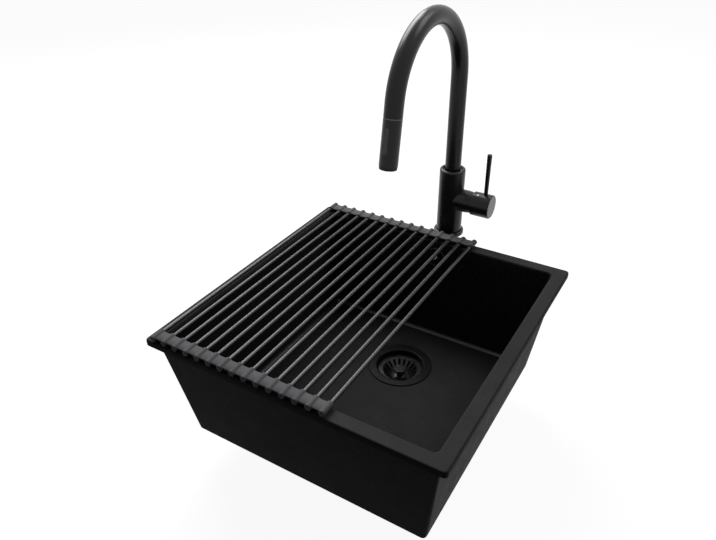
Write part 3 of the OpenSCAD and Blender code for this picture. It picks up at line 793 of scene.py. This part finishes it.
@dataclass(frozen=True)
class Gooseneck:
    """The spray hose on the gooseneck's centre line.

    Args:
        x: Place of the tap along X.
        y: Place of the tap along Y.
        bend: Radius of the bend.
        centre: Height of the bend's centre.
        turn: Angle of the bend, in degrees.
        tip: Length of the straight end.
        hose: Radius of the hose.
        foot: Height of the hose's lower end.
        step: Distance between the rings in the riser.
        near: Start of the stretch that comes out, past the gooseneck's end.
        far: End of that stretch.
        top: End of the hose in the head.
        sides: Number of the hose's sides.
    """

    x: float = 1.5 * MM
    y: float = 278 * MM
    bend: float = 110 * MM
    centre: float = 283 * MM
    turn: float = 170.0
    tip: float = 19.7 * MM
    hose: float = 6.1 * MM
    foot: float = -62 * MM
    step: float = 15 * MM
    near: float = -1 * MM
    far: float = 7.5 * MM
    top: float = 9.7 * MM
    sides: int = 24

    def frame(self, run: float) -> tuple[Vector, Vector]:
        """The centre line at a distance past the bend's start.

        Args:
            run: Distance along the line, negative in the riser.

        Returns:
            Point and direction.
        """
        arc = self.bend * math.radians(self.turn)
        if run <= 0:
            return Vector((self.x, self.y, self.centre + run)), Vector((0, 0, 1))
        a = min(run, arc) / self.bend
        point = Vector((self.x, self.y - self.bend * (1 - math.cos(a)), self.centre + self.bend * math.sin(a)))
        way = Vector((0, -math.sin(a), math.cos(a)))
        return point + way * max(0.0, run - arc), way

    def length(self, name: str, runs: list[float]) -> bpy.types.Object:
        """Makes one length of the hose.

        Args:
            name: Name of the piece.
            runs: Distances of its rings along the centre line.

        Returns:
            The piece.
        """
        rings = []
        for run in runs:
            point, way = self.frame(run)
            across = way.cross(Vector((1, 0, 0))).normalized()
            rings.append([point + self.hose * (math.cos(a) * Vector((1, 0, 0)) + math.sin(a) * across)
                          for a in (2 * math.pi * k / self.sides for k in range(self.sides))])
        points, faces = loft(rings)
        obj = link_mesh(name, points, faces, HOSE)
        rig.replaces(obj, "spray_hose")
        LOG.info("%s: %d rings", name, len(rings))
        return obj

    def build(self) -> None:
        """Builds the braided hose: the riser's length, and the bend's, which comes out as the head is pulled."""
        tall = self.centre - self.foot
        riser = self.length("riser_hose", [k * self.step - tall for k in range(int(tall / self.step))] + [0.0])
        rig.ride(riser, "spout_body")
        arc = self.bend * math.radians(self.turn)
        near, far = arc + self.tip + self.near, arc + self.tip + self.far
        runs = [arc * k / 48 for k in range(49)] + [arc + self.tip * k / 4 for k in range(1, 4)]
        runs += [near + (far - near) * k / 60 for k in range(61)] + [arc + self.tip + self.top]
        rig.blend(self.length("pull_out_hose", runs), "spout_body", "spray_head",
                 start=self.frame(near)[0], end=self.frame(far)[0])


@dataclass(frozen=True)
class Threads:
    """The thread ridges below the worktop.

    Args:
        outlet: Thread of the drain's outlet.
        shank: Thread of the tap's shank.
        lift: Height of a thread's start above its node's lower end.
    """

    outlet: Helix = Helix(23.7 * MM, 2.3 * MM, 8.0, 0.55 * MM)
    shank: Helix = Helix(15.85 * MM, 1.8 * MM, 4.0, 0.45 * MM)
    lift: float = 1 * MM

    def build(self) -> None:
        """Adds the threads of the drain's outlet and the tap's shank."""
        for name, helix, node, finish in (("outlet_thread", self.outlet, "drain_body", FLANGE),
                                          ("shank_thread", self.shank, "tap_shank", BRASS)):
            low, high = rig.box(node)
            helix.make(name, ((low.x + high.x) / 2, (low.y + high.y) / 2, low.z + self.lift), finish, "sink")
        LOG.info("threads added")


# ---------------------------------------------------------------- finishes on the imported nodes


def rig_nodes() -> dict[str, bpy.types.Object]:
    """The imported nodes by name.

    Returns:
        The objects.
    """
    return {o["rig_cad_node"]: o for o in bpy.data.objects if "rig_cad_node" in o}


def paint(obj: bpy.types.Object, finish: Finish) -> None:
    """Gives one finish to a whole object.

    Args:
        obj: The object.
        finish: The finish.
    """
    obj.data.materials.clear()
    obj.data.materials.append(finish.material())
    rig.slot(obj, finish.slot)


@dataclass(frozen=True)
class Dressing:
    """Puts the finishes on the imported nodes.

    Args:
        rim_edge: Height below which the bowl's outer faces are its outside.
        inside: Height below which the bowl's inner faces are its inside.
        floor: Height of the bowl's floor.
        foot: Height of the rounding at the floor.
        seal: Height of the tap's steel washer's top.
        plate: Depth of the lever cap's end face.
    """

    rim_edge: float = 9 * MM
    inside: float = -2 * MM
    floor: float = -171 * MM
    foot: float = 7.2 * MM
    seal: float = -41.02 * MM
    plate: float = 0.2 * MM

    def split(self, obj: bpy.types.Object, finish: Finish, chosen: Callable[[bpy.types.MeshPolygon], bool]) -> None:
        """Gives some faces of an object another finish.

        Args:
            obj: The object.
            finish: The other finish.
            chosen: Says whether a face takes it.
        """
        obj.data.materials.append(finish.material())
        last = len(obj.data.materials) - 1
        for face in obj.data.polygons:
            if chosen(face):
                face.material_index = last

    def outside(self, face: bpy.types.MeshPolygon) -> bool:
        """Whether a face of the bowl lies on its outside.

        Args:
            face: The face.

        Returns:
            True for the underside and for what looks away from the bowl's middle below the rim's top.
        """
        outward = face.normal.x * face.center.x + face.normal.y * face.center.y
        steep = abs(face.normal.z) < 0.5
        return face.normal.z < -0.3 or (outward > 0 and steep and face.center.z < self.rim_edge)

    def rounded_foot(self, face: bpy.types.MeshPolygon) -> bool:
        """Whether a face of the bowl lies on the rounding between its floor and its walls.

        Args:
            face: The face.

        Returns:
            True for the sloping faces just above the floor.
        """
        return 0.25 < face.normal.z < 0.97 and self.floor < face.center.z < self.floor + self.foot

    def build(self) -> None:
        """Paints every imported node."""
        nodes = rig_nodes()
        for name, finish in NODE_FINISH.items():
            paint(nodes[name], finish)
        bowl = nodes["sink_bowl"]
        # The bowl's outside and underside take the darker copy, which is painted shade.
        self.split(bowl, SHADED_OUTSIDE, self.outside)
        # The bowl's inside below the rim takes the other darker copy, which is painted shade.
        self.split(bowl, SHADED_INSIDE, lambda face: face.center.z < self.inside and not self.outside(face))
        self.split(bowl, CORNER, self.rounded_foot)
        low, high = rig.box("hot_cold_mark")
        middle = (low.x + high.x) / 2
        self.split(nodes["hot_cold_mark"], COLD, lambda face: face.center.x > middle)
        self.split(nodes["tap_washers"], STEEL, lambda face: face.center.z < self.seal)
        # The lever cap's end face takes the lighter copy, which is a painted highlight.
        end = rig.box("lever_cap")[1].x
        self.split(nodes["lever_cap"], CAP_END_HIGHLIGHT, lambda face: face.center.x > end - self.plate)
        LOG.info("finishes: %d nodes", len(NODE_FINISH))


# ---------------------------------------------------------------- studio


@dataclass(frozen=True)
class Camera:
    """The photograph's camera, in the row frame.

    Args:
        place: Where it stands, in metres.
        azimuth: Turn of the view, in degrees.
        elevation: Height of the view, in degrees.
        roll: Roll of the picture, in degrees.
        focal: Focal length in pixels of the picture.
        width: Width of the picture in pixels.
        sensor: Width of the sensor in millimetres.
        clip: Nearest and farthest distance that it shows, in metres.
    """

    place: Point = (0.40406, -0.69454, 0.58411)
    azimuth: float = 31.59
    elevation: float = 32.67
    roll: float = -0.85
    focal: float = 650.3
    width: float = 716.0
    sensor: float = 36.0
    clip: Span = (0.02, 60.0)

    def build(self) -> None:
        """Makes the scene's camera."""
        a, e, r = (math.radians(v) for v in (self.azimuth, self.elevation, self.roll))
        right = Vector((math.cos(a), math.sin(a), 0))
        ahead = Vector((-math.sin(a) * math.cos(e), math.cos(a) * math.cos(e), -math.sin(e)))
        up = right.cross(ahead)
        side = right * math.cos(r) + up * math.sin(r)
        top = up * math.cos(r) - right * math.sin(r)
        data = bpy.data.cameras.new("camera")
        data.sensor_width = self.sensor
        data.lens = self.sensor * self.focal / self.width
        data.clip_start, data.clip_end = self.clip
        obj = bpy.data.objects.new("camera", data)
        obj.matrix_world = Matrix((
            (side.x, top.x, -ahead.x, self.place[0]),
            (side.y, top.y, -ahead.y, self.place[1]),
            (side.z, top.z, -ahead.z, self.place[2]),
            (0, 0, 0, 1),
        ))
        bpy.context.scene.collection.objects.link(obj)
        bpy.context.scene.camera = obj


@dataclass(frozen=True)
class Softbox:
    """One rectangular lamp.

    Args:
        name: Name of the lamp.
        place: Its middle.
        target: Point that it faces.
        size: Width and height.
        power: Power in watts.
    """

    name: str
    place: Point
    target: Point
    size: Span
    power: float

    def build(self) -> None:
        """Makes the lamp."""
        data = bpy.data.lights.new(self.name, "AREA")
        data.shape, data.size, data.size_y, data.energy = "RECTANGLE", *self.size, self.power
        obj = bpy.data.objects.new(self.name, data)
        obj.location = self.place
        obj.rotation_mode = "QUATERNION"
        obj.rotation_quaternion = (Vector(self.target) - Vector(self.place)).to_track_quat("-Z", "Y")
        bpy.context.scene.collection.objects.link(obj)


@dataclass(frozen=True)
class Studio:
    """Pale floor, even surroundings and soft lamps.

    Args:
        floor_z: Height of the floor.
        lamps: The lamps.
        fill: Strength of the surroundings as they light the object.
        half: Half the floor's side, in metres.
        grey: Floor's own colour, which takes the lamps' light and the shadow.
        glow: Strength of the white that the floor shows over it.
    """

    floor_z: float
    lamps: tuple[Softbox, ...]
    fill: float = 0.057
    half: float = 8.0
    grey: float = 0.12
    glow: float = 0.93

    def seen(self, tree: bpy.types.NodeTree) -> bpy.types.NodeSocket:
        """A socket that is 1 for rays that show the background.

        Args:
            tree: Tree to add to.

        Returns:
            The socket.
        """
        path = tree.nodes.new("ShaderNodeLightPath")
        share = path.outputs["Is Camera Ray"]
        for name in ("Is Glossy Ray", "Is Transmission Ray"):
            either = tree.nodes.new("ShaderNodeMath")
            either.operation = "MAXIMUM"
            tree.links.new(share, either.inputs[0])
            tree.links.new(path.outputs[name], either.inputs[1])
            share = either.outputs[0]
        return share

    def floor(self) -> None:
        """Makes the floor, which keeps the object's shadow."""
        corners = ((-1, -1), (1, -1), (1, 1), (-1, 1))
        mesh = bpy.data.meshes.new("floor")
        mesh.from_pydata([(x * self.half, y * self.half, self.floor_z) for x, y in corners], [], [(0, 1, 2, 3)])
        made = bpy.data.materials.new("floor")
        made.use_nodes = True
        tree = made.node_tree
        shader = tree.nodes["Principled BSDF"]
        shader.inputs["Base Color"].default_value = (self.grey, self.grey, self.grey, 1)
        shader.inputs["Roughness"].default_value = 0.9
        shader.inputs["Specular IOR Level"].default_value = 0.1
        glow = tree.nodes.new("ShaderNodeMath")
        glow.operation = "MULTIPLY"
        tree.links.new(self.seen(tree), glow.inputs[0])
        glow.inputs[1].default_value = self.glow
        tree.links.new(glow.outputs[0], shader.inputs["Emission Strength"])
        shader.inputs["Emission Color"].default_value = (1, 1, 1, 1)
        made.cycles.emission_sampling = "NONE"
        mesh.materials.append(made)
        obj = bpy.data.objects.new("floor", mesh)
        bpy.context.scene.collection.objects.link(obj)
        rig.stage(obj)

    def surroundings(self) -> None:
        """Makes the world: white where it is seen, softer as a light."""
        world = bpy.data.worlds.new("studio")
        world.use_nodes = True
        bpy.context.scene.world = world
        tree = world.node_tree
        back = tree.nodes["Background"]
        back.inputs["Color"].default_value = (1, 1, 1, 1)
        level = tree.nodes.new("ShaderNodeMapRange")
        level.inputs["To Min"].default_value = self.fill
        level.inputs["To Max"].default_value = 1.0
        tree.links.new(self.seen(tree), level.inputs["Value"])
        tree.links.new(level.outputs[0], back.inputs["Strength"])

    def build(self) -> None:
        """Makes floor, surroundings and lamps."""
        self.floor()
        self.surroundings()
        for lamp in self.lamps:
            lamp.build()
        bpy.context.scene.view_settings.view_transform = "Standard"


# Distance from the object's lowest point down to the floor
FLOOR_GAP = 0.5 * MM
LAMPS = (
    Softbox("left", (-1.3, 1.0, 1.7), (0.0, 0.0, 0.0), (1.6, 1.4), 62.0),
    Softbox("right", (0.9, 1.2, 2.1), (0.0, 0.0, 0.0), (1.4, 1.2), 22.0),
)


def write_sizes(before: tuple[Vector, Vector], after: tuple[Vector, Vector]) -> None:
    """Writes the CAD box and the visual model's box.

    Args:
        before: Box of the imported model.
        after: Box of the dressed model.
    """
    boxes = {"cad": [list(v) for v in before], "visual": [list(v) for v in after]}
    with open("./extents.json", "w", encoding="utf-8") as file:
        json.dump(boxes, file)


def main() -> None:
    """Builds the scene in order."""
    logging.basicConfig(level=logging.INFO, format="%(name)s: %(message)s")
    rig.load()
    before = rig.bounds()
    Camera().build()
    Dressing().build()
    Rack().build()
    Gooseneck().build()
    Threads().build()
    Studio(before[0].z - FLOOR_GAP, LAMPS).build()
    write_sizes(before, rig.bounds())


if __name__ == "__main__":
    main()
